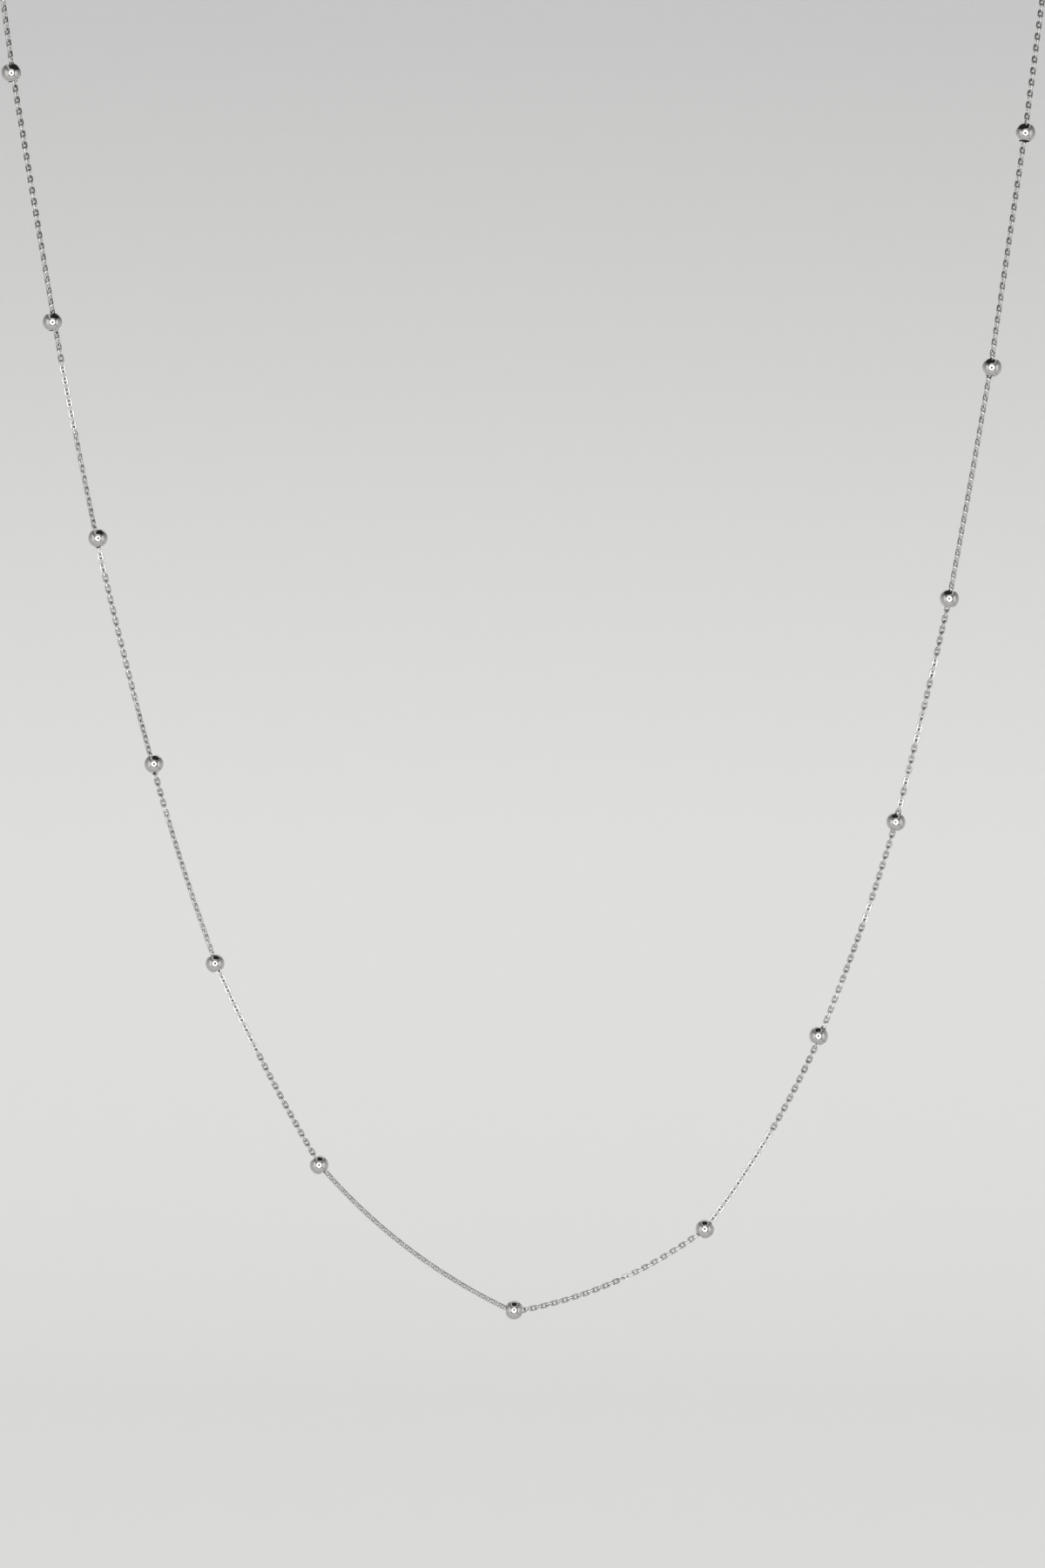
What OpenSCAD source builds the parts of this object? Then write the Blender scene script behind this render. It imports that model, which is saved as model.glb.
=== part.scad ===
// Fine silver neck chain with a polished drilled ball at every station, shown as it hangs when worn.
// The front stretch hangs in one upright plane; the rest goes round the neck to a spring ring clasp.
// Origin: middle of the clasp, at the nape. +Z up, +Y to the back, +X to the wearer's left. Millimetres.

/* [Balls] */
// Outer diameter of every ball
ball_d = 2.5; // [2.3:0.1:3]
// Diameter of the hole that the chain runs through
bore_d = 1.35; // [1.35:0.05:1.5]
// Length of chain from one ball to the next on the stretch round the neck
ball_step = 29.5; // [27:0.5:29.5]

/* [Chain] */
// Width of the cable chain across its links
chain_w = 0.8; // [0.6:0.05:0.8]

/* [Neck] */
// Distance from the middle to each side where the chain leaves the front
top_x = 65.5; // [65.1:0.2:66.7]
// Distance of the nape behind the front stretch
neck_depth = 83; // [80:1:95]
// Height of the nape above the place where the chain leaves the front
neck_rise = 30; // [28:1:40]
// How widely the chain rounds the back of the neck
neck_round = 70; // [60:1:80]

/* [Clasp] */
// Outer diameter of the spring ring
clasp_d = 5.8; // [5:0.1:6.2]
// Thickness of the spring ring
clasp_t = 1; // [0.8:0.05:1.1]
// Outer diameter of the ring that the clasp closes on
catch_d = 3.3; // [3:0.1:3.6]
// Thickness of the ring that the clasp closes on
catch_t = 0.5; // [0.4:0.05:0.6]

/* [Hidden] */

// Columns of the front table
X = 0; // ball's centre from the middle
Z = 1; // ball's centre above the lowest ball
SIDE = 2; // how far the chain runs outside the ball's centre
BOW = 3; // how far the stretch to the next row bows outwards
front_top = 170; // where the chain leaves the front, above the lowest ball
top_lean = 0.11; // outward slope of the chain where it leaves the front
front = [
    [-64.3, 158.9, -0.15, -0.15],
    [-59.6, 127.9, -0.2, 0.1],
    [-54.2, 100.6, 0.2, 0.4],
    [-47.4, 71.7, 0.2, 0.35],
    [-39.8, 45.8, -0.1, 0.4],
    [-26.5, 19.3, -0.05, 1.85],
    [-1.1, 0, 0.25, 1.8],
    [23.8, 10.8, 0.05, 1],
    [38.4, 36.3, 0.2, 0.5],
    [48.1, 64.2, 0, 0.1],
    [54.6, 92.9, 0, 0],
    [59.6, 122.2, -0.15, -0.1],
    [63.4, 151.5, -0.05, 0],
    [top_x, front_top, 0, 0]
];
last = len(front) - 2; // row of the last ball
lowest = 6; // row of the lowest ball

// The nape is the origin, so the front stands before it and hangs below it
front_y = -neck_depth;
drop = front_top + neck_rise;

// Balls and rings drawn along each stretch
neck_balls = 4; // on each side of the neck
front_cuts = 4; // tube sections between two front balls
neck_cuts = 3; // tube sections between two neck balls
neck_samples = 60; // points that the neck curve is measured on
tube_sides = 8;

// Rings of the clasp, with the gap that keeps them loose in each other
ring_gap = 0.06;
eyelet_r = 0.8; // to the middle of the wire
eyelet_t = 0.5;
jump_r = 1;
jump_t = 0.4;
end_r = 0.6; // soldered ring at each end of the chain
end_t = 0.3;
clasp_r = (clasp_d - clasp_t) / 2;
catch_r = (catch_d - catch_t) / 2;
eyelet_bite = 0.15; // how deep the eyelet is soldered into the spring ring
eyelet_x = -(clasp_d / 2 + eyelet_t / 2 + eyelet_r - eyelet_bite);
jump_x = eyelet_x - linked(eyelet_r, eyelet_t, jump_r, jump_t);
left_end_x = jump_x - linked(jump_r, jump_t, end_r, end_t);
catch_x = linked(clasp_r, clasp_t, catch_r, catch_t);
right_end_x = catch_x + linked(catch_r, catch_t, end_r, end_t);

// Distance between the middles of two interlocked rings that are pulled apart
function linked(r1, t1, r2, t2) = r1 + r2 - (t1 + t2) / 2 - ring_gap;

function unit(v) = v / norm(v);
function mix(a, b, t) = a * (1 - t) + b * t;

// A point of the front plane, in the necklace's own frame
function on_front(p) = [p[0], front_y, p[1] - drop];

// Middle of the chain, a share t of the way from one row of the front table to the next
function front_point(row, t) =
    let (a = front[row], b = front[row + 1])
    let (along = unit([b[X] - a[X], b[Z] - a[Z]]))
    let (out = [along[1], -along[0]])
    let (side = mix(a[SIDE], b[SIDE], t))
    let (sag = 4 * t * (1 - t) * (a[BOW] - (a[SIDE] + b[SIDE]) / 2))
    on_front(mix([a[X], a[Z]], [b[X], b[Z]], t) + out * (side + sag));

// The neck stretch of one side, from its outermost front ball to the end of the chain
function neck_curve(s, end_x) =
    let (row = s < 0 ? 0 : last)
    let (top = [s * top_x, front_y, -neck_rise])
    let (rise = top + neck_rise * [s * top_lean, 0, 1])
    let (back = [s * neck_round, 0, 0])
    let (end = [end_x, 0, 0])
    concat(
        [front_point(row, 0)],
        [for (k = [0 : neck_samples]) bezier(top, rise, back, end, k / neck_samples)]
    );

function bezier(a, b, c, d, t) =
    a * pow(1 - t, 3) + 3 * b * t * pow(1 - t, 2) + 3 * c * t * t * (1 - t) + d * pow(t, 3);

// Length of a curve up to each of its points
function run(curve) =
    [for (k = 0, sum = 0; k < len(curve);
        sum = sum + (k + 1 < len(curve) ? norm(curve[k + 1] - curve[k]) : 0), k = k + 1) sum];

// Point at a given length along a curve
function at_length(curve, lengths, s) =
    [for (axis = [0 : 2]) lookup(s, [for (k = [0 : len(curve) - 1]) [lengths[k], curve[k][axis]]])];

// Places on the neck stretch where the tube has a ring, from the front ball towards the clasp
function neck_cut_lengths(whole) =
    let (step = ball_step / neck_cuts)
    let (count = neck_balls * neck_cuts)
    let (rest = whole - count * step)
    concat(
        [for (k = [1 : count]) k * step],
        [for (k = [1 : neck_cuts]) count * step + rest * k / neck_cuts]
    );

left_curve = neck_curve(-1, left_end_x - end_r);
right_curve = neck_curve(1, right_end_x + end_r);
left_run = run(left_curve);
right_run = run(right_curve);
left_whole = left_run[len(left_run) - 1];
right_whole = right_run[len(right_run) - 1];

left_points = [for (s = neck_cut_lengths(left_whole)) at_length(left_curve, left_run, s)];
right_points = [for (s = neck_cut_lengths(right_whole)) at_length(right_curve, right_run, s)];
front_points = concat(
    [for (row = [0 : last - 1]) for (k = [0 : front_cuts - 1]) front_point(row, k / front_cuts)],
    [front_point(last, 0)]
);
back_to_front = [for (k = [len(left_points) - 1 : -1 : 0]) left_points[k]];
route = concat(back_to_front, front_points, right_points);
meeting = len(left_points) + lowest * front_cuts; // ring inside the lowest ball

// Direction of the route at each of its points
function heading(k) =
    k == 0 ? unit(route[1] - route[0])
    : k == len(route) - 1 ? unit(route[k] - route[k - 1])
    : unit(unit(route[k] - route[k - 1]) + unit(route[k + 1] - route[k]));

// A direction across the route that is carried along it without twisting
function across(v, way) = unit(v - (v * way) * way);
carried = [for (k = 0, v = across([0, 0, 1], heading(0)); k < len(route);
    k = k + 1, v = k < len(route) ? across(v, heading(k)) : v) v];

function tube_ring(k) =
    let (way = heading(k), u = carried[k], w = cross(way, u))
    [for (j = [0 : tube_sides - 1])
        route[k] + chain_w / 2 * (u * cos(360 * j / tube_sides) + w * sin(360 * j / tube_sides))];

// Chain drawn as one closed tube through the rings from one point of the route to another
module tube(from, to) {
    rings = to - from + 1;
    points = [for (k = [from : to]) each tube_ring(k)];
    start = [for (j = [0 : tube_sides - 1]) j];
    finish = [for (j = [tube_sides - 1 : -1 : 0]) (rings - 1) * tube_sides + j];
    walls = [for (k = [0 : rings - 2]) for (j = [0 : tube_sides - 1])
        let (a = k * tube_sides, next = (j + 1) % tube_sides)
        each [[a + j, a + tube_sides + j, a + tube_sides + next], [a + j, a + tube_sides + next, a + next]]];
    polyhedron(points, concat([start], walls, [finish]), convexity = 6);
}

// Round wire ring about the local Z axis
module ring(r, t) {
    rotate_extrude($fn = 64) translate([r, 0]) circle(d = t, $fn = 32);
}

// Ring that stands in the plane of the clasp, or lies flat across it
module upright_ring(x, r, t) {
    translate([x, 0, 0]) rotate([90, 0, 0]) ring(r, t);
}
module flat_ring(x, r, t) {
    translate([x, 0, 0]) ring(r, t);
}

// Half of the chain, from the lowest ball to its soldered end ring
module chain_left() {
    color("silver") {
        tube(0, meeting);
        upright_ring(left_end_x, end_r, end_t);
    }
}
module chain_right() {
    color("silver") {
        tube(meeting, len(route) - 1);
        upright_ring(right_end_x, end_r, end_t);
    }
}

// Turns a drilled ball's hole from the Z axis to the way the chain runs
module along_chain(way) {
    rotate([0, acos(way[2]), atan2(way[1], way[0])]) children();
}

module drilled_ball(centre, way) {
    color("gainsboro") translate(centre) along_chain(way) difference() {
        sphere(d = ball_d, $fn = 64);
        cylinder(h = ball_d + 1, d = bore_d, center = true, $fn = 48);
    }
}

// Places of the balls along the route, counted from the wearer's right end of the chain
function ball_ring(i) =
    i <= neck_balls ? i * neck_cuts
    : i <= neck_balls + last + 1 ? len(left_points) + (i - neck_balls - 1) * front_cuts
    : len(left_points) + len(front_points) - 1 + (i - neck_balls - last - 1) * neck_cuts;

ball_count = 2 * neck_balls + last + 1;
neck_inset = 0.04; // share of the bend by which a ball round the neck sits inside the chain

// Centre of a ball: off the chain by its row's side on the front, a little inside the bend round the neck
function ball_centre(i) =
    let (row = i - neck_balls - 1, k = ball_ring(i))
    row >= 0 && row <= last ? on_front([front[row][X], front[row][Z]])
    : mix(route[k], (route[k - 1] + route[k + 1]) / 2, neck_inset);

function ball_name(i) = str("ball_", i < 10 ? "0" : "", i);

module ball(i) {
    drilled_ball(ball_centre(i), heading(ball_ring(i)));
}

// Spring ring with the eyelet that is soldered to it
module clasp() {
    color("silver") {
        upright_ring(0, clasp_r, clasp_t);
        upright_ring(eyelet_x, eyelet_r, eyelet_t);
    }
}
module jump_ring() {
    color("silver") flat_ring(jump_x, jump_r, jump_t);
}
module catch_ring() {
    color("silver") flat_ring(catch_x, catch_r, catch_t);
}

chain_left();
chain_right();
clasp();
jump_ring();
catch_ring();
for (i = [1 : ball_count])
    ball(i);
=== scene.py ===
# Fine silver neck chain with a polished drilled ball at every station, hung as it is worn
import math
import random
import bpy
from mathutils import Matrix, Vector


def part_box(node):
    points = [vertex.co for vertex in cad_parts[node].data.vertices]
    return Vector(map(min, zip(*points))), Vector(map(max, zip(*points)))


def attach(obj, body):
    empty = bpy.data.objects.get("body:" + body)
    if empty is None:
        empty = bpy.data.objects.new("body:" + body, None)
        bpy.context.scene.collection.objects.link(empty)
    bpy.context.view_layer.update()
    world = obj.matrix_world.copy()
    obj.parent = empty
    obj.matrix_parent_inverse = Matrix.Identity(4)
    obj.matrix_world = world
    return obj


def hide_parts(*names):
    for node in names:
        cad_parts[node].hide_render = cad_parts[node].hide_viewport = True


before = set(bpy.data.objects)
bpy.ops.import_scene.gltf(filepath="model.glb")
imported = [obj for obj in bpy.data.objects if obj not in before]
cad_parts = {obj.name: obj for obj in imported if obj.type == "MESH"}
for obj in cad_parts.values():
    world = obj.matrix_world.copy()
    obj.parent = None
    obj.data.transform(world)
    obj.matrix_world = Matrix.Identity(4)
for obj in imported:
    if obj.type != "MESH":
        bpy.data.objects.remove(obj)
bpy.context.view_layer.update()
random.seed(11)
mm = 0.001  # pieces are modelled one unit to the millimetre and placed in metres
print("frame loaded:", len(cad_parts), "nodes")


# Colours are written as sRGB hex; this turns one to linear
def linear(hexColour):
    shares = [int(hexColour[i:i + 2], 16) / 255 for i in (1, 3, 5)]
    return [s / 12.92 if s <= 0.04045 else ((s + 0.055) / 1.055) ** 2.4 for s in shares] + [1]


# Adds one node: its settings by name, its socket values, and links given as socket: (node, output)
def addNode(tree, kind, values=(), links=(), **settings):
    node = tree.nodes.new("ShaderNode" + kind)
    for name, value in settings.items():
        setattr(node, name, value)
    for socket, value in dict(values).items():
        node.inputs[socket].default_value = value
    for socket, (source, output) in dict(links).items():
        tree.links.new(source.outputs[output], node.inputs[socket])
    return node


def startMaterial(name):
    material = bpy.data.materials.new(name)
    material.use_nodes = True
    material.node_tree.nodes.clear()
    return material


# Roughness that goes from its first value to its second over a span of a noise's levels
def addShine(tree, noise, span, roughness):
    return addNode(tree, "MapRange", {"From Min": span[0], "From Max": span[1],
                   "To Min": roughness[0], "To Max": roughness[1]}, {"Value": (noise, "Fac")})


# Scale that a noise texture needs for features of a real size in millimetres
def perMm(size):
    return 1 / (size * mm)


# Sterling silver buffed with rouge on a soft wheel: a near mirror, its lights softened in patches
# by faint wheel lines and bent a little where the wheel has pressed unevenly
ballFinish = {
    "silver": "#fbfaf8",
    "handled": "#f3f1ed",  # skin oils leave a slightly warmer, thinner shine
    "patchMm": 0.9,
    "patchSpan": (0.35, 0.7),  # noise levels between which a patch goes from bright to softened
    "wheelLineMm": 0.06,  # real ones are finer, drawn as coarse as they need to show
    "lineStretch": 6,
    "lineDepthMm": 0.00004,
    "swellMm": 0.45,  # width of the uneven places
    "swellDepthMm": 0.013,
    "roughness": (0.015, 0.05),
}


def mirrorPolishedSilver():
    material = startMaterial("mirror polished sterling silver")
    tree = material.node_tree
    place = addNode(tree, "TexCoord")
    patches = addNode(tree, "TexNoise", {"Scale": perMm(ballFinish["patchMm"]), "Detail": 3},
                      {"Vector": (place, "Object")})
    shine = addShine(tree, patches, ballFinish["patchSpan"], ballFinish["roughness"])
    colour = addNode(tree, "Mix", {"A": linear(ballFinish["silver"]), "B": linear(ballFinish["handled"])},
                     {"Factor": (patches, "Fac")}, data_type="RGBA")
    stretch = ballFinish["lineStretch"]
    along = addNode(tree, "Mapping", {"Scale": (1, 1, stretch)}, {"Vector": (place, "Object")})
    lines = addNode(tree, "TexNoise", {"Scale": perMm(ballFinish["wheelLineMm"]) / stretch, "Detail": 2},
                    {"Vector": (along, "Vector")})
    swells = addNode(tree, "TexNoise", {"Scale": perMm(ballFinish["swellMm"]), "Detail": 1},
                     {"Vector": (place, "Object")})
    swelling = addNode(tree, "Bump", {"Distance": ballFinish["swellDepthMm"] * mm},
                       {"Height": (swells, "Fac")})
    relief = addNode(tree, "Bump", {"Distance": ballFinish["lineDepthMm"] * mm},
                     {"Height": (lines, "Fac"), "Normal": (swelling, "Normal")})
    metal = addNode(tree, "BsdfPrincipled", {"Metallic": 1},
                    {"Base Color": (colour, "Result"), "Roughness": (shine, "Result"),
                     "Normal": (relief, "Normal")})
    addNode(tree, "OutputMaterial", {}, {"Surface": (metal, "BSDF")})
    return material


# Inside of the hole: cut by the drill and never polished, so it stays dull; its dark colour is painted
# shade inside the hole
boreFinishAndShade = {"silver": "#55524e", "roughness": 0.45, "toolMarkMm": 0.08, "markDepthMm": 0.006}


def drilledBoreSilver():
    material = startMaterial("unpolished drilled silver")
    tree = material.node_tree
    place = addNode(tree, "TexCoord")
    marks = addNode(tree, "TexNoise", {"Scale": perMm(boreFinishAndShade["toolMarkMm"]), "Detail": 2},
                    {"Vector": (place, "Object")})
    relief = addNode(tree, "Bump", {"Distance": boreFinishAndShade["markDepthMm"] * mm}, {"Height": (marks, "Fac")})
    # the dark base colour is painted shade inside the bore; the roughness and tool marks are real
    metal = addNode(tree, "BsdfPrincipled", {"Metallic": 1, "Base Color": linear(boreFinishAndShade["silver"]),
                    "Roughness": boreFinishAndShade["roughness"]}, {"Normal": (relief, "Normal")})
    addNode(tree, "OutputMaterial", {}, {"Surface": (metal, "BSDF")})
    return material


# Drawn silver wire, linked, soldered and barrel tumbled: bright on the rails, darker where the links close
# round each other; that darkening is painted shade between the links, with some real tarnish kept in the
# bends
wireFinish = {
    # a brighter tone in some stretches than in others, and a darker one that is painted shade on the links
    # seen edge-on
    "tones": {"brighter": "#fbfaf8", "plain": "#f5f4f2", "paintedShade": "#d3d1ce"},
    "tarnishAndShade": "#66625d",
    "occlusionMm": 0.3,  # reach of the painted shade and tarnish around a joint
    "bendSamples": 8,
    "openness": (0.08, 0.44),  # darkest at the first share of open sky and clean silver at the second: painted shade with some real tarnish
    "tumbleMm": 0.05,
    "tumbleSpan": (0.3, 0.7),
    "tumbleDepthMm": 0.0008,
    "roughness": (0.1, 0.22),
}


def tumbledSilverWire(tone):
    material = startMaterial(tone + " tumbled drawn silver wire")
    tree = material.node_tree
    place = addNode(tree, "TexCoord")
    # ambient occlusion darkens the wire where the links close round each other: painted shade, with some
    # real tarnish
    bends = addNode(tree, "AmbientOcclusion", {"Distance": wireFinish["occlusionMm"] * mm},
                    samples=wireFinish["bendSamples"])
    shut, clear = wireFinish["openness"]
    unoccluded = addNode(tree, "MapRange", {"From Min": shut, "From Max": clear}, {"Value": (bends, "AO")})
    silver = linear(wireFinish["tones"][tone])
    colour = addNode(tree, "Mix", {"A": linear(wireFinish["tarnishAndShade"]), "B": silver},
                     {"Factor": (unoccluded, "Result")}, data_type="RGBA")
    tumble = addNode(tree, "TexNoise", {"Scale": perMm(wireFinish["tumbleMm"]), "Detail": 2},
                     {"Vector": (place, "Object")})
    shine = addShine(tree, tumble, wireFinish["tumbleSpan"], wireFinish["roughness"])
    relief = addNode(tree, "Bump", {"Distance": wireFinish["tumbleDepthMm"] * mm},
                     {"Height": (tumble, "Fac")})
    metal = addNode(tree, "BsdfPrincipled", {"Metallic": 1},
                    {"Base Color": (colour, "Result"), "Roughness": (shine, "Result"),
                     "Normal": (relief, "Normal")})
    addNode(tree, "OutputMaterial", {}, {"Surface": (metal, "BSDF")})
    return material


# Silver clasp parts, hand polished after soldering: bright, with small knocks from the nail
claspFinish = {
    "silver": "#f9f7f2",
    "worn": "#e9e5dd",
    "knockMm": 0.35,
    "knockSpan": (0.3, 0.75),
    "knockDepthMm": 0.002,
    "roughness": (0.05, 0.16),
}


def polishedClaspSilver():
    material = startMaterial("hand polished clasp silver")
    tree = material.node_tree
    place = addNode(tree, "TexCoord")
    knocks = addNode(tree, "TexNoise", {"Scale": perMm(claspFinish["knockMm"]), "Detail": 4},
                     {"Vector": (place, "Object")})
    colour = addNode(tree, "Mix", {"A": linear(claspFinish["silver"]), "B": linear(claspFinish["worn"])},
                     {"Factor": (knocks, "Fac")}, data_type="RGBA")
    shine = addShine(tree, knocks, claspFinish["knockSpan"], claspFinish["roughness"])
    relief = addNode(tree, "Bump", {"Distance": claspFinish["knockDepthMm"] * mm},
                     {"Height": (knocks, "Fac")})
    metal = addNode(tree, "BsdfPrincipled", {"Metallic": 1},
                    {"Base Color": (colour, "Result"), "Roughness": (shine, "Result"),
                     "Normal": (relief, "Normal")})
    addNode(tree, "OutputMaterial", {}, {"Surface": (metal, "BSDF")})
    return material


ballSilver = mirrorPolishedSilver()
boreSilver = drilledBoreSilver()
wireSilver = {tone: tumbledSilverWire(tone) for tone in wireFinish["tones"]}
claspSilver = polishedClaspSilver()
print("silver finishes made")


hair = 0.0005  # distances under this count as none, in the units that a piece is modelled in
roundDegrees = 60  # faces that meet at less than this look round, on plain wire and the sweep
rimDegrees = 40  # the same where a piece has edges that have to stay crisp


def pickNothing():
    bpy.ops.object.select_all(action="DESELECT")


# Selects, in edit mode, the corners, edges or faces whose middle passes a test
def pick(piece, kind, test):
    bpy.ops.object.mode_set(mode="EDIT")
    bpy.ops.mesh.select_mode(type=kind)
    bpy.ops.mesh.select_all(action="DESELECT")
    bpy.ops.object.mode_set(mode="OBJECT")
    mesh = piece.data
    parts = {"VERT": mesh.vertices, "EDGE": mesh.edges, "FACE": mesh.polygons}[kind]
    for part in parts:
        corners = [part.index] if kind == "VERT" else part.vertices
        middle = sum((mesh.vertices[c].co for c in corners), Vector()) / len(corners)
        part.select = test(middle)
    bpy.ops.object.mode_set(mode="EDIT")


def closeShape(piece, smoothDegrees):
    bpy.ops.object.mode_set(mode="EDIT")
    bpy.ops.mesh.select_all(action="SELECT")
    bpy.ops.mesh.remove_doubles(threshold=hair)
    bpy.ops.mesh.normals_make_consistent(inside=False)
    bpy.ops.object.mode_set(mode="OBJECT")
    bpy.ops.object.shade_smooth_by_angle(angle=math.radians(smoothDegrees))


# Puts a finished shape at its place, in metres, and hands it to the frame
def placePiece(piece, name, matrix, nodeName):
    piece.name = name
    piece.data.name = name
    piece.data.transform(Matrix.Scale(mm, 4) @ matrix)
    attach(piece, "root")
    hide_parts(nodeName)


def copyOf(pattern):
    piece = pattern.copy()
    piece.data = pattern.data.copy()
    bpy.context.scene.collection.objects.link(piece)
    return piece


# Middle line of the chain, from the left end ring to the right one, in millimetres
strand = {
    # How far the chain runs outside each front ball's centre, from ball 5 to ball 17
    "side": [-0.15, -0.2, 0.2, 0.2, -0.1, -0.05, 0.25, 0.05, 0.2, 0, 0, -0.15, -0.05],
    # How far each stretch bows outwards to the next ball
    "bow": [-0.15, 0.1, 0.4, 0.35, 0.4, 1.85, 1.8, 1, 0.5, 0.1, 0, -0.1],
    "firstFront": 5,
    "lowestBall": 11,
    "topX": 65.5,
    "neckDepth": 83,
    "neckRise": 30,
    "neckRound": 70,
    "topLean": 0.11,
    "leftRingX": -6.88,  # where the end link hangs in each end ring
    "rightRingX": 5.13,
    "stepMm": 0.25,
    "neckPoints": 600,
}


def ballName(i):
    return f"ball_{i:02d}"


def ballCentre(i):
    low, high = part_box(ballName(i))
    return (low + high) / 2 / mm


# Outward direction across the line between two points of the front
def outward(a, b):
    along = (b - a).normalized()
    return Vector((along.z, 0, -along.x))


def frontStretch(row):
    a = ballCentre(strand["firstFront"] + row)
    b = ballCentre(strand["firstFront"] + row + 1)
    out = outward(a, b)
    sideA, sideB = strand["side"][row:row + 2]
    sag = strand["bow"][row] - (sideA + sideB) / 2
    count = round((b - a).length / strand["stepMm"])
    shares = [k / count for k in range(count)]
    return [a.lerp(b, t) + out * (sideA * (1 - t) + sideB * t + 4 * t * (1 - t) * sag) for t in shares]


# From where the chain leaves the front, round one side of the neck, to its end ring
def neckStretch(sign, endX):
    top = Vector((sign * strand["topX"], -strand["neckDepth"], -strand["neckRise"]))
    rise = top + strand["neckRise"] * Vector((sign * strand["topLean"], 0, 1))
    back = Vector((sign * strand["neckRound"], 0, 0))
    end = Vector((endX, 0, 0))
    count = strand["neckPoints"]
    shares = [k / count for k in range(count + 1)]
    return [top * (1 - t) ** 3 + rise * 3 * t * (1 - t) ** 2 + back * 3 * t * t * (1 - t) + end * t ** 3
            for t in shares]


# A line through many points, read by the length along it
class Route:
    def __init__(self, points):
        self.points = points
        self.lengths = [0]
        for a, b in zip(points, points[1:]):
            self.lengths.append(self.lengths[-1] + (b - a).length)

    def at(self, length):
        low, high = 0, len(self.points) - 1
        while high - low > 1:
            middle = (low + high) // 2
            if self.lengths[middle] <= length:
                low = middle
            else:
                high = middle
        share = (length - self.lengths[low]) / (self.lengths[high] - self.lengths[low])
        return self.points[low].lerp(self.points[high], share)

    def nearest(self, point):
        k = min(range(len(self.points)), key=lambda i: (self.points[i] - point).length_squared)
        return self.lengths[k]


def chainRoute():
    rows = len(strand["side"])
    front = [p for row in range(rows - 1) for p in frontStretch(row)]
    lastBall = ballCentre(strand["firstFront"] + rows - 1)
    left = neckStretch(-1, strand["leftRingX"])
    right = neckStretch(1, strand["rightRingX"])
    front.append(lastBall + outward(lastBall, right[0]) * strand["side"][-1])
    return Route(left[::-1] + front + right)


# The camera stands at the height of the middle of the front and looks down a little
cameraPlace = {
    "lens": 62.44,
    "distance": 350,
    "pitchDegrees": 5,
    "aimAboveLowestBall": 69.12,
    "sensor": 36,
    "clipStart": 0.01,
}


def viewingPoint():
    lowest = ballCentre(strand["lowestBall"])
    aim = Vector((0, lowest.y, lowest.z + cameraPlace["aimAboveLowestBall"]))
    pitch = math.radians(cameraPlace["pitchDegrees"])
    return aim + cameraPlace["distance"] * Vector((0, -math.cos(pitch), math.sin(pitch)))


route = chainRoute()
ballCount = sum(name.startswith("ball_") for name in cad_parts)
ballLengths = [route.nearest(ballCentre(i)) for i in range(1, ballCount + 1)]
meeting = ballLengths[strand["lowestBall"] - 1]
print(f"route of {route.lengths[-1]:.1f} mm between the end rings")


# One soldered link of drawn wire, pressed into fine flats that flash when they face the light
link = {
    "length": 1.24,
    "width": 0.8,
    "wire": 0.25,
    "bends": 12,  # segments round the loop
    "sides": 6,  # round the wire
    "flatDegrees": 59,  # flats that meet at more than this stay crisp
    "pitch": 0.71,
    "hook": 0.205,  # from the end link's middle to the wire of the end ring
    "rollJitter": 1.5,
    "leanJitter": 0.8,
}
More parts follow.
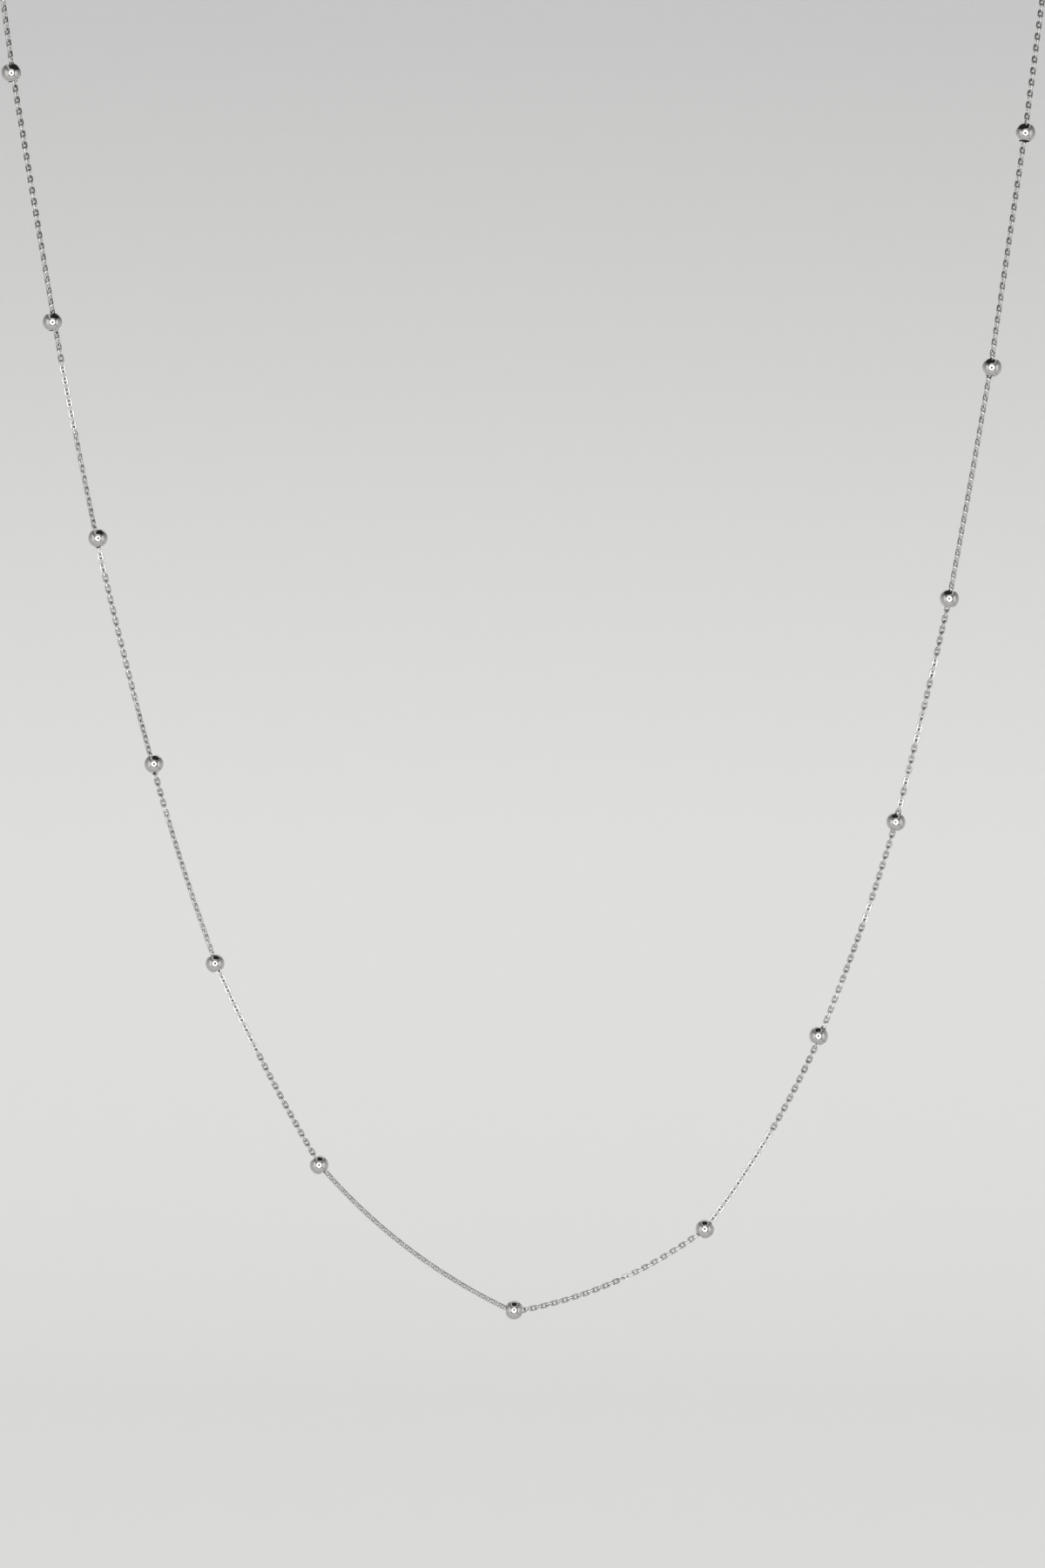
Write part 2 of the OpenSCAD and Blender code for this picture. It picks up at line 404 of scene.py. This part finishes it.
# How the chain hangs, charted by ball number: whole at each ball, with the share of the way between
drape = {
    # how far it is turned about itself, in degrees: at 0 every other link lies flat to the camera,
    # at 45 all of them stand askew
    "twist": [
        (0, 0), (2, 20), (4, 45), (5, 38), (5.1, 26), (5.6, 22), (5.75, 40), (6, 45),
        (6.08, 40), (6.18, 10), (6.46, 2), (6.52, 38), (7, 45),
        (7.04, 25), (7.08, 6), (7.13, 12), (7.66, 20), (7.74, 42), (8, 45),
        (8.04, 12), (8.2, 6), (8.28, 42), (9, 38),
        (9.04, 4), (9.96, 12), (10.04, 45), (10.96, 45),
        (11.04, -22), (11.5, -22), (11.56, 20), (11.96, 20), (12.04, 0), (12.5, 3), (12.96, 0),
        (13.04, 20), (13.3, 10), (13.96, 3), (14.04, 4), (14.96, 12),
        (15.04, 40), (15.96, 38), (16.04, 34), (16.96, 32), (17.04, 28), (18, 22), (20, 10), (22, 0),
    ],
    # how its links zigzag in depth, in degrees: the flat ones lean this far upwards and the ones
    # between them as far the other way, and each takes or misses the light by it
    "zigzag": [
        (0, 0), (4, 4), (4.5, 20), (5, 23), (6, 23), (6.17, 20), (6.19, 8), (6.47, 8), (6.5, 6), (7, 4),
        (7.05, 11), (7.11, 11), (7.13, -21), (7.7, -21), (7.76, 6), (8, 3), (8.02, -14), (8.22, -14),
        (8.28, 0), (9, 0), (9.28, -2), (9.3, -7), (9.45, -9), (9.47, -11), (10, -11), (10.02, 0),
        (12, 0), (12.02, 1), (12.5, 1), (12.54, -12), (13, -12),
        (13.55, -14), (14, -15), (14.65, -15), (14.75, -17), (15, -17), (15.02, 22), (16, 22), (17, 24),
        (17.5, 20), (18, 4), (22, 0),
    ],
    # short stretches where the links hang straighter and lose the light
    "lulls": [
        (12.1, 12.15), (12.25, 12.3), (12.4, 12.45), (13.56, 13.64), (14.06, 14.11), (14.17, 14.21),
        (14.37, 14.44), (14.53, 14.57), (14.66, 14.74),
    ],
    "lullLean": -6,
    # where each tone of the wire begins
    "tones": [
        (0, "plain"), (6.17, "brighter"), (8.01, "plain"), (8.24, "brighter"), (9.3, "plain"),
        (10, "brighter"), (12, "plain"), (12.5, "brighter"), (15, "plain"),
    ],
    "flatUnder": 12,  # where it is turned less than this, the links between the flat ones, seen edge-on, take the darker tone: painted shade
}


# Ball number at a length along the route
def numberAt(length):
    stations = [0] + ballLengths + [route.lengths[-1]]
    ball = max(i for i in range(ballCount + 1) if stations[i] <= length)
    return ball + (length - stations[ball]) / (stations[ball + 1] - stations[ball])


def readChart(chart, number):
    for (a, valueA), (b, valueB) in zip(chart, chart[1:]):
        if a <= number <= b:
            return valueA + (valueB - valueA) * (number - a) / (b - a)
    return 0


# Links seen edge-on, where the chain lies flat to the camera, get the darker tone: painted shade
def toneAt(number, between):
    if between and abs(readChart(drape["twist"], number)) < drape["flatUnder"]:
        return "paintedShade"
    return [name for start, name in drape["tones"] if start <= number][-1]


def leanAt(number):
    if any(a <= number <= b for a, b in drape["lulls"]):
        return drape["lullLean"]
    return readChart(drape["zigzag"], number)


# A torus whose two halves are drawn apart, so that its bends stay round and its rails go straight
def modelLink():
    pickNothing()
    bend = (link["width"] - link["wire"]) / 2
    bpy.ops.mesh.primitive_torus_add(major_segments=link["bends"], minor_segments=link["sides"],
                                     major_radius=bend, minor_radius=link["wire"] / 2,
                                     rotation=(0, 0, math.pi / link["bends"]))
    piece = bpy.context.object
    bpy.ops.object.transform_apply(rotation=True)
    rail = (link["length"] - link["width"]) / 2
    for sign in (-1, 1):
        pick(piece, "VERT", lambda p: p.x * sign > 0)
        bpy.ops.transform.translate(value=(sign * rail, 0, 0))
    closeShape(piece, link["flatDegrees"])
    return piece


# The small ring that is soldered to each end of the chain and stands in the clasp's plane
endRing = {
    "radius": 0.6,
    "wire": 0.3,
    "segments": 40,
    "sides": 16,
    "jointShare": 0.97,  # the soldered joint is the part above this share of the radius
    "jointSwell": (1.06, 1.1, 1.02),
}


def modelEndRing(x):
    pickNothing()
    bpy.ops.mesh.primitive_torus_add(major_segments=endRing["segments"], minor_segments=endRing["sides"],
                                     major_radius=endRing["radius"], minor_radius=endRing["wire"] / 2,
                                     rotation=(math.pi / 2, 0, 0))
    piece = bpy.context.object
    bpy.ops.object.transform_apply(rotation=True)
    pick(piece, "VERT", lambda p: p.z > endRing["radius"] * endRing["jointShare"])
    bpy.ops.transform.resize(value=endRing["jointSwell"])
    closeShape(piece, roundDegrees)
    piece.data.materials.append(claspSilver)
    piece.data.transform(Matrix.Translation((x, 0, 0)))
    return piece


# A link turned about the chain, then leant so that the side seen by the camera looks upwards
def linkMatrix(middle, way, facing, turn, lean):
    normal = Matrix.Rotation(math.radians(turn), 3, way) @ facing
    level = facing.cross(way) if way.z > 0 else way.cross(facing)
    leant = Matrix.Rotation(math.radians(lean), 3, level)
    way, normal = leant @ way, leant @ normal
    across = normal.cross(way)
    turned = Matrix((way, across, normal)).transposed().to_4x4()
    return Matrix.Translation(middle) @ turned


# Half of the chain: links from the middle of the lowest ball to the end ring, each hooked in the last
def placeLinks(pattern, sign, firstTurn):
    endLength = link["hook"] if sign < 0 else route.lengths[-1] - link["hook"]
    reach = abs(endLength - meeting)
    count = round(reach / link["pitch"] + 0.5)
    if (count + firstTurn) % 2 == 0:
        count += 1  # the last link lies flat, across the upright end ring
    pitch = reach / (count - 0.5)
    eye = viewingPoint()
    lastFront = strand["firstFront"] + len(strand["side"]) - 1
    links = []
    for k in range(count):
        length = meeting + sign * pitch * (k + 0.5)
        a = route.at(max(length - pitch / 2, 0))
        b = route.at(min(length + pitch / 2, route.lengths[-1]))
        way = (b - a).normalized()
        number = numberAt(length)
        if strand["firstFront"] <= number <= lastFront:
            facing = (eye - a).normalized()  # the links round the neck go on from the last front one
        facing = (facing - way * facing.dot(way)).normalized()
        between = (k + firstTurn) % 2
        turn = readChart(drape["twist"], number) + 90 * between + random.gauss(0, link["rollJitter"])
        lean = leanAt(number) * (1 - 2 * between) + random.gauss(0, link["leanJitter"])
        piece = copyOf(pattern)
        # a leaning link is drawn longer, so that it still just hooks into the next one
        longer = Matrix.Diagonal((1 / math.cos(math.radians(lean)), 1, 1, 1))
        piece.data.transform(linkMatrix((a + b) / 2, way, facing, turn, lean) @ longer)
        piece.data.materials.append(wireSilver[toneAt(number, between)])
        links.append(piece)
    return links


def joinPieces(pieces):
    pickNothing()
    for piece in pieces:
        piece.select_set(True)
    bpy.context.view_layer.objects.active = pieces[0]
    bpy.ops.object.join()
    return bpy.context.object


def buildChain():
    pattern = modelLink()
    halves = [("links_left", "chain_left", -1, 0, endRing["radius"]),
              ("links_right", "chain_right", 1, 1, -endRing["radius"])]
    for name, node, sign, firstTurn, ringShift in halves:
        links = placeLinks(pattern, sign, firstTurn)
        ringX = strand["leftRingX"] if sign < 0 else strand["rightRingX"]
        links.append(modelEndRing(ringX + ringShift))
        chain = joinPieces(links)
        placePiece(chain, name, Matrix(), node)
        print(name, "has", len(links) - 1, "links and", len(chain.data.polygons), "faces")
    bpy.data.objects.remove(pattern)


buildChain()


# A drilled ball, its hole along Z
ball = {
    "diameter": 2.5,
    "bore": 1.35,
    "rim": 0.05,
    "rimSegments": 3,
    "boreCuts": 2,
    "cutSnap": 0.00001,  # points this close to a cut are taken as on it
    "segments": 64,
    "rings": 40,
    # how far a ball leans on the chain, its upper mouth to the back, in degrees by ball number
    "nod": {5: -4, 8: 5, 9: 7, 10: 9, 12: 9, 13: 10, 14: 6, 17: 4},
}


def modelBall():
    pickNothing()
    radius, boreRadius = ball["diameter"] / 2, ball["bore"] / 2
    bpy.ops.mesh.primitive_uv_sphere_add(segments=ball["segments"], ring_count=ball["rings"], radius=radius)
    piece = bpy.context.object
    cap = math.sqrt(radius ** 2 - boreRadius ** 2)
    for sign in (-1, 1):
        pick(piece, "FACE", lambda p: True)
        bpy.ops.mesh.bisect(plane_co=(0, 0, sign * cap), plane_no=(0, 0, sign), clear_outer=True,
                            threshold=ball["cutSnap"])
    pick(piece, "EDGE", lambda p: abs(abs(p.z) - cap) < hair)
    bpy.ops.mesh.bridge_edge_loops(number_cuts=ball["boreCuts"])
    pick(piece, "EDGE", lambda p: abs(abs(p.z) - cap) < hair)
    bpy.ops.mesh.bevel(offset=ball["rim"], segments=ball["rimSegments"], affect="EDGES")
    piece.data.materials.append(ballSilver)
    piece.data.materials.append(boreSilver)
    pick(piece, "FACE", lambda p: math.hypot(p.x, p.y) < boreRadius and abs(p.z) < cap - ball["rim"])
    piece.active_material_index = 1
    bpy.ops.object.material_slot_assign()
    closeShape(piece, rimDegrees)
    return piece


def buildBalls():
    pattern = modelBall()
    reach = ball["diameter"] / 2
    for i in range(1, ballCount + 1):
        length = ballLengths[i - 1]
        way = (route.at(length + reach) - route.at(length - reach)).normalized()
        nod = math.tan(math.radians(ball["nod"].get(i, 0)))
        way = (way + Vector((0, nod * abs(way.z) * (1 if way.z > 0 else -1), 0))).normalized()
        turn = Matrix.Rotation(random.uniform(0, math.tau), 4, "Z")
        matrix = Matrix.Translation(ballCentre(i)) @ way.to_track_quat("Z", "X").to_matrix().to_4x4() @ turn
        placePiece(copyOf(pattern), "polished_" + ballName(i), matrix, ballName(i))
    bpy.data.objects.remove(pattern)
    print(ballCount, "balls placed")


buildBalls()


# Spring ring with its soldered eyelet, and the two rings that join it to the chain
clasp = {
    "radius": 2.4,
    "wire": 1,
    "segments": 96,
    "eyeletX": -3.8,
    "eyeletRadius": 0.8,
    "eyeletWire": 0.5,
    "eyeletSegments": 48,
    "boltSeams": (60, 105),  # where the closed bolt meets the tube, in degrees from the catch side
}
jumpRing = {"x": -5.09, "radius": 1, "wire": 0.4, "segments": 64, "seam": 90}
catchRing = {"x": 2.99, "radius": 1.4, "wire": 0.5, "segments": 64, "seam": 270}
ringSides = 24  # segments round the wire of the clasp and its rings
seam = {"width": 0.03, "segments": 2, "waist": 0.9}  # waist as a share of the wire's thickness


# Round wire ring that lies flat, with a fine closed seam at each of some angles
def modelRing(radius, wire, segments, seamAngles):
    pickNothing()
    bpy.ops.mesh.primitive_torus_add(major_segments=segments, minor_segments=ringSides,
                                     major_radius=radius, minor_radius=wire / 2)
    piece = bpy.context.object
    for degrees in seamAngles:
        out = Matrix.Rotation(math.radians(degrees), 3, "Z") @ Vector((1, 0, 0))
        along = Vector((-out.y, out.x, 0))
        pick(piece, "EDGE", lambda p: abs(p.dot(along)) < hair and p.dot(out) > 0)
        bpy.ops.mesh.bevel(offset=seam["width"], segments=seam["segments"], affect="EDGES")
        pick(piece, "VERT", lambda p: abs(p.dot(along)) < hair and p.dot(out) > 0)
        bpy.ops.transform.resize(value=(seam["waist"],) * 3, center_override=out * radius)
    closeShape(piece, roundDegrees)
    piece.data.materials.append(claspSilver)
    return piece


def buildClasp():
    upright = Matrix.Rotation(math.pi / 2, 4, "X")
    ring = modelRing(clasp["radius"], clasp["wire"], clasp["segments"], clasp["boltSeams"])
    ring.data.transform(upright)
    eyelet = modelRing(clasp["eyeletRadius"], clasp["eyeletWire"], clasp["eyeletSegments"], ())
    eyelet.data.transform(Matrix.Translation((clasp["eyeletX"], 0, 0)) @ upright)
    pickNothing()
    ring.select_set(True)
    bpy.context.view_layer.objects.active = ring
    weld = ring.modifiers.new("soldered eyelet", "BOOLEAN")
    weld.operation = "UNION"
    weld.object = eyelet
    weld.solver = "EXACT"
    bpy.ops.object.modifier_apply(modifier=weld.name)
    bpy.data.objects.remove(eyelet)
    closeShape(ring, rimDegrees)
    placePiece(ring, "spring_ring_clasp", Matrix(), "clasp")
    for name, node, sizes in (("jump_ring_wire", "jump_ring", jumpRing),
                              ("catch_ring_wire", "catch_ring", catchRing)):
        piece = modelRing(sizes["radius"], sizes["wire"], sizes["segments"], (sizes["seam"],))
        placePiece(piece, name, Matrix.Translation((sizes["x"], 0, 0)), node)
    print("clasp and its rings placed")


buildClasp()


# Pale paper sweep, in metres: a floor under the necklace that curves up behind it
sweep = {
    "floorZ": -0.62,
    "backY": 1.9,
    "frontY": -9,
    "halfWidth": 9,
    "topZ": 2.6,
    "bend": 0.7,
    "bendSegments": 32,
    # painted light falloff on the paper by height: it darkens slowly upwards at first, then faster
    "lowPaintedLight": "#e0e0df",
    "kneePaintedLight": "#d8d8d7",
    "topPaintedLight": "#cccccd",
    "paintedLightZ": (-0.35, 0.083, 0.34),
    "fibreMm": 0.8,
    "fibreDepthMm": 0.0025,
    "roughness": 0.95,
    "specular": 0.1,
}


def buildSweep():
    pickNothing()
    bpy.ops.mesh.primitive_plane_add(size=1)
    floor = bpy.context.object
    floor.name = "paper_sweep"
    depth = sweep["backY"] - sweep["frontY"]
    middle = (sweep["backY"] + sweep["frontY"]) / 2
    floor.data.transform(Matrix.Translation((0, middle, sweep["floorZ"]))
                         @ Matrix.Diagonal((2 * sweep["halfWidth"], depth, 1, 1)))
    pick(floor, "EDGE", lambda p: p.y > sweep["backY"] - hair)
    bpy.ops.mesh.extrude_region_move(
        TRANSFORM_OT_translate={"value": (0, 0, sweep["topZ"] - sweep["floorZ"])})
    pick(floor, "EDGE", lambda p: p.y > sweep["backY"] - hair and p.z < sweep["floorZ"] + hair
         and abs(p.x) < hair)
    bpy.ops.mesh.bevel(offset=sweep["bend"], segments=sweep["bendSegments"], affect="EDGES")
    closeShape(floor, roundDegrees)
    material = startMaterial("matt paper sweep")
    tree = material.node_tree
    place = addNode(tree, "TexCoord")
    axes = addNode(tree, "SeparateXYZ", {}, {"Vector": (place, "Object")})
    # painted light falloff: the paper is painted lighter low down and darker towards the top
    lowZ, kneeZ, topZ = sweep["paintedLightZ"]
    lower = addNode(tree, "MapRange", {"From Min": lowZ, "From Max": kneeZ}, {"Value": (axes, "Z")})
    upper = addNode(tree, "MapRange", {"From Min": kneeZ, "From Max": topZ}, {"Value": (axes, "Z")})
    fibre = addNode(tree, "TexNoise", {"Scale": perMm(sweep["fibreMm"]), "Detail": 2},
                    {"Vector": (place, "Object")})
    slow = addNode(tree, "Mix", {"A": linear(sweep["lowPaintedLight"]), "B": linear(sweep["kneePaintedLight"])},
                   {"Factor": (lower, "Result")}, data_type="RGBA")
    colour = addNode(tree, "Mix", {"B": linear(sweep["topPaintedLight"])},
                     {"Factor": (upper, "Result"), "A": (slow, "Result")}, data_type="RGBA")
    relief = addNode(tree, "Bump", {"Distance": sweep["fibreDepthMm"] * mm}, {"Height": (fibre, "Fac")})
    paper = addNode(tree, "BsdfPrincipled", {"Roughness": sweep["roughness"],
                    "Specular IOR Level": sweep["specular"]},
                    {"Base Color": (colour, "Result"), "Normal": (relief, "Normal")})
    addNode(tree, "OutputMaterial", {}, {"Surface": (paper, "BSDF")})
    floor.data.materials.append(material)


buildSweep()


# Light tent round the necklace, seen only as reflections in the silver; millimetres
tent = {
    "middleX": 19,  # the tent stands a little to one side of the camera
    "wallX": 430,
    "frontY": -733,
    "backY": 700,
    "roofZ": 440,
    "floorZ": -600,
    "lensY": -436,
    "lensZ": -100,
    "wallGlow": 0.385,
    "frontGain": 0.1,
    "backGain": 0.2,
    "highShare": 0.32,
    "glowY": (-500, -30, 500),  # full front gain, no gain, full back gain
    "glowZ": (-200, 300),  # from here up the glow falls to its high share
    # round the lens: name, shift from its middle, width, height, outline, colour, strength
    "lensCards": [
        ("lens_shadow", (0, 0, 0), 156, 156, "round", "#4c4c4c", 1),
        ("ring_light", (0, -4, 0), 460, 460, "round", "#ffffff", 1.5),
        ("lens_panel", (19, -8, 0), 496, 496, "square", "#5c5c5c", 1),
    ],
    # on each side wall: name, distance before it, y, z, width, height, colour
    "patches": [
        ("patch", 8, -400, -105, 200, 330, "#dbdbda"),
        ("patch_rim", 4, -370, -110, 400, 450, "#bdbdbc"),
    ],
    # frame of the right wall: name, y, z, width, height
    "bars": [
        ("front_bar", -590, 4, 70, 1150),
        ("back_bar", 441, 4, 120, 1150),
        ("low_bar", -61, -540, 1010, 45),
    ],
    "barBeforeWall": 6,
    "barColour": "#4c4c4c",
    "frontColour": "#b2b2b1",
    "roofColour": "#a6a6a5",
    "openingShift": -4,
    "openingY": -88,
    "openingZ": 71,
    "openingSize": (236, 256),
    "openingColour": "#242424",
    "roundSegments": 64,
}


def cardCloth(name, hexColour, strength=1):
    material = startMaterial(name + " cloth")
    glow = addNode(material.node_tree, "Emission", {"Color": linear(hexColour), "Strength": strength})
    addNode(material.node_tree, "OutputMaterial", {}, {"Surface": (glow, "Emission")})
    material.cycles.emission_sampling = "NONE"
    return material


# Side wall cloth: brightest towards the front and the back, darker towards the roof
def wallCloth():
    material = startMaterial("tent wall cloth")
    tree = material.node_tree
    place = addNode(tree, "TexCoord")
    axes = addNode(tree, "SeparateXYZ", {}, {"Vector": (place, "Object")})
    frontY, middleY, backY = (y * mm for y in tent["glowY"])
    lowZ, highZ = (z * mm for z in tent["glowZ"])
    front = addNode(tree, "MapRange", {"From Min": middleY, "From Max": frontY, "To Min": tent["wallGlow"],
                    "To Max": tent["wallGlow"] + tent["frontGain"]}, {"Value": (axes, "Y")})
    back = addNode(tree, "MapRange", {"From Min": middleY, "From Max": backY, "To Min": 0,
                   "To Max": tent["backGain"]}, {"Value": (axes, "Y")})
    level = addNode(tree, "Math", {}, {0: (front, "Result"), 1: (back, "Result")}, operation="ADD")
    height = addNode(tree, "MapRange", {"From Min": lowZ, "From Max": highZ, "To Min": 1,
                     "To Max": tent["highShare"]}, {"Value": (axes, "Z")})
    strength = addNode(tree, "Math", {}, {0: (level, "Value"), 1: (height, "Result")}, operation="MULTIPLY")
    glow = addNode(tree, "Emission", {"Color": (1, 1, 1, 1)}, {"Strength": (strength, "Value")})
    addNode(tree, "OutputMaterial", {}, {"Surface": (glow, "Emission")})
    material.cycles.emission_sampling = "NONE"
    return material


# The two directions that a card spreads in, by the axis that it faces
spreads = {"x": ((0, 1, 0), (0, 0, 1)), "y": ((1, 0, 0), (0, 0, 1)), "z": ((1, 0, 0), (0, 1, 0))}


def addCard(name, centre, width, height, facing, material, outline="square"):
    pickNothing()
    if outline == "round":
        bpy.ops.mesh.primitive_circle_add(vertices=tent["roundSegments"], radius=0.5, fill_type="NGON")
    else:
        bpy.ops.mesh.primitive_plane_add(size=1)
    card = bpy.context.object
    card.name = name
    wide, tall = (Vector(way) for way in spreads[facing])
    turn = Matrix((wide, tall, wide.cross(tall))).transposed().to_4x4()
    card.data.transform(Matrix.Scale(mm, 4) @ Matrix.Translation(centre) @ turn
                        @ Matrix.Diagonal((width, height, 1, 1)))
    card.data.materials.append(material)
    card.visible_camera = False
    card.visible_diffuse = False
    card.visible_shadow = False
    card.visible_transmission = False


def buildTent():
    middle, wall, front, back = tent["middleX"], tent["wallX"], tent["frontY"], tent["backY"]
    depth, middleY = back - front, (back + front) / 2
    tall, middleZ = tent["roofZ"] - tent["floorZ"], (tent["roofZ"] + tent["floorZ"]) / 2
    for name, shift, width, height, outline, colour, strength in tent["lensCards"]:
        centre = (shift[0], tent["lensY"] + shift[1], tent["lensZ"] + shift[2])
        addCard(name, centre, width, height, "y", cardCloth(name, colour, strength), outline)
    cloth = wallCloth()
    for sign, side in ((-1, "left"), (1, "right")):
        x = middle + sign * wall
        addCard(side + "_wall", (x, middleY, middleZ), depth, tall, "x", cloth)
        for name, before, y, z, width, height, colour in tent["patches"]:
            addCard(side + "_" + name, (x - sign * before, y, z), width, height, "x",
                    cardCloth(side + " " + name, colour))
    bar = cardCloth("wall frame", tent["barColour"])
    for name, y, z, width, height in tent["bars"]:
        addCard(name, (middle + wall - tent["barBeforeWall"], y, z), width, height, "x", bar)
    addCard("front_wall", (middle, front, middleZ), 2 * wall, tall, "y",
            cardCloth("front", tent["frontColour"]))
    addCard("roof", (middle, middleY, tent["roofZ"]), 2 * wall, depth, "z",
            cardCloth("roof", tent["roofColour"]))
    addCard("roof_opening", (middle + tent["openingShift"], tent["openingY"], tent["openingZ"]),
            *tent["openingSize"], "z", cardCloth("opening", tent["openingColour"]))
    addCard("tent_floor", (middle, middleY, tent["floorZ"]), 2 * wall, depth, "z", cloth)


buildTent()


# Soft light over the necklace, in metres; the silver reflects the tent and not the lamp
softbox = {"place": (0, -0.4, 2.2), "target": (0, 0.6, -0.3), "size": 2.4, "watts": 14}


def lightSoftbox():
    pickNothing()
    bpy.ops.object.light_add(type="AREA", location=softbox["place"])
    lamp = bpy.context.object
    lamp.name = "overhead_softbox"
    way = Vector(softbox["target"]) - Vector(softbox["place"])
    lamp.rotation_euler = way.to_track_quat("-Z", "Y").to_euler()
    lamp.data.shape = "SQUARE"
    lamp.data.size = softbox["size"]
    lamp.data.energy = softbox["watts"]
    lamp.visible_glossy = False
    lamp.visible_camera = False


lightSoftbox()


# Pale room all round the sweep
room = {"colour": "#fafaf9", "strength": 1}


def lightRoom():
    world = bpy.data.worlds.new("pale room")
    bpy.context.scene.world = world
    world.use_nodes = True
    backdrop = world.node_tree.nodes["Background"]
    backdrop.inputs["Color"].default_value = linear(room["colour"])
    backdrop.inputs["Strength"].default_value = room["strength"]
    bpy.context.scene.view_settings.view_transform = "Standard"


lightRoom()
print("sweep, tent and light made")


def placeCamera():
    pitch = math.radians(cameraPlace["pitchDegrees"])
    bpy.ops.object.camera_add(location=viewingPoint() * mm, rotation=(math.pi / 2 - pitch, 0, 0))
    camera = bpy.context.object
    camera.data.lens = cameraPlace["lens"]
    camera.data.sensor_width = cameraPlace["sensor"]
    camera.data.clip_start = cameraPlace["clipStart"]
    bpy.context.scene.camera = camera


placeCamera()
print("camera placed")
